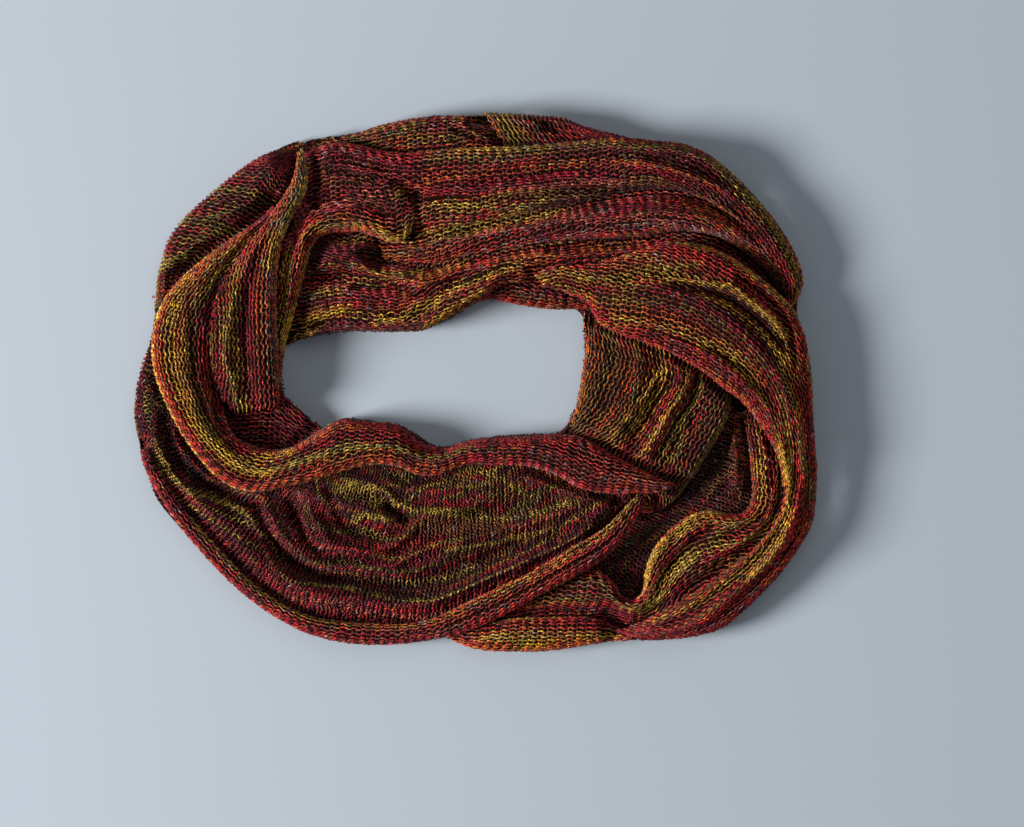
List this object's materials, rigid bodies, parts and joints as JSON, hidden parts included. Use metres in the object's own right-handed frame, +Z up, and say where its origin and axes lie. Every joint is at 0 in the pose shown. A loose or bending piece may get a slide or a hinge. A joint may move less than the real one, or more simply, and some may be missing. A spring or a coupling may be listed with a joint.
{
  "type": "infinity scarf",
  "caption": "Knitted infinity scarf of striped wool yarn, wound in two turns and laid flat as a coiled, folded ring round an open middle.",
  "frame": {"origin": "centre of the ring's outline, on the surface that the scarf lies on", "axes": "+X to the right along the ring's longer way, +Y to its far side, +Z up out of the surface"},
  "size_m": [0.4105, 0.3237, 0.0425],
  "materials": {
    "left_panel": "matt knitted wool, red, maroon, orange and olive-yellow rows",
    "long_sweep": "matt knitted wool, red, maroon, orange and olive-yellow rows",
    "curled_rib": "matt knitted wool, red, maroon, orange and olive-yellow rows",
    "right_band": "matt knitted wool, red, maroon, orange and olive-yellow rows",
    "top_outer_band": "matt knitted wool, red, maroon, orange and olive-yellow rows",
    "top_middle_band": "matt knitted wool, red, maroon, orange and olive-yellow rows",
    "top_inner_band": "matt knitted wool, red, maroon, orange and olive-yellow rows",
    "inner_top_tuck": "matt knitted wool, red, maroon, orange and olive-yellow rows",
    "left_shoulder": "matt knitted wool, red, maroon, orange and olive-yellow rows",
    "turned_fold": "matt knitted wool, red, maroon, orange and olive-yellow rows",
    "top_rim_fold": "matt knitted wool, red, maroon, orange and olive-yellow rows",
    "rolled_rim": "matt knitted wool, red, maroon, orange and olive-yellow rows",
    "right_inner_panel": "matt knitted wool, red, maroon, orange and olive-yellow rows",
    "bottom_lip": "matt knitted wool, red, maroon, orange and olive-yellow rows",
    "pocket_fold": "matt knitted wool, red, maroon, orange and olive-yellow rows",
    "recess": "matt knitted wool, red, maroon, orange and olive-yellow rows",
    "knit_face": "matt knitted wool, red, maroon, orange and olive-yellow rows",
    "left_tuck": "matt knitted wool, red, maroon, orange and olive-yellow rows",
    "hidden_layers": "matt knitted wool, red, maroon, orange and olive-yellow rows"
  },
  "bodies": {
    "root": {"left_panel": "left_panel", "long_sweep": "long_sweep", "curled_rib": "curled_rib", "right_band": "right_band", "top_outer_band": "top_outer_band", "top_middle_band": "top_middle_band", "top_inner_band": "top_inner_band", "inner_top_tuck": "inner_top_tuck", "left_shoulder": "left_shoulder", "turned_fold": "turned_fold", "top_rim_fold": "top_rim_fold", "rolled_rim": "rolled_rim", "right_inner_panel": "right_inner_panel", "bottom_lip": "bottom_lip", "pocket_fold": "pocket_fold", "recess": "recess", "knit_face": "knit_face", "left_tuck": "left_tuck", "hidden_layers": "hidden_layers"}
  },
  "joints": []
}
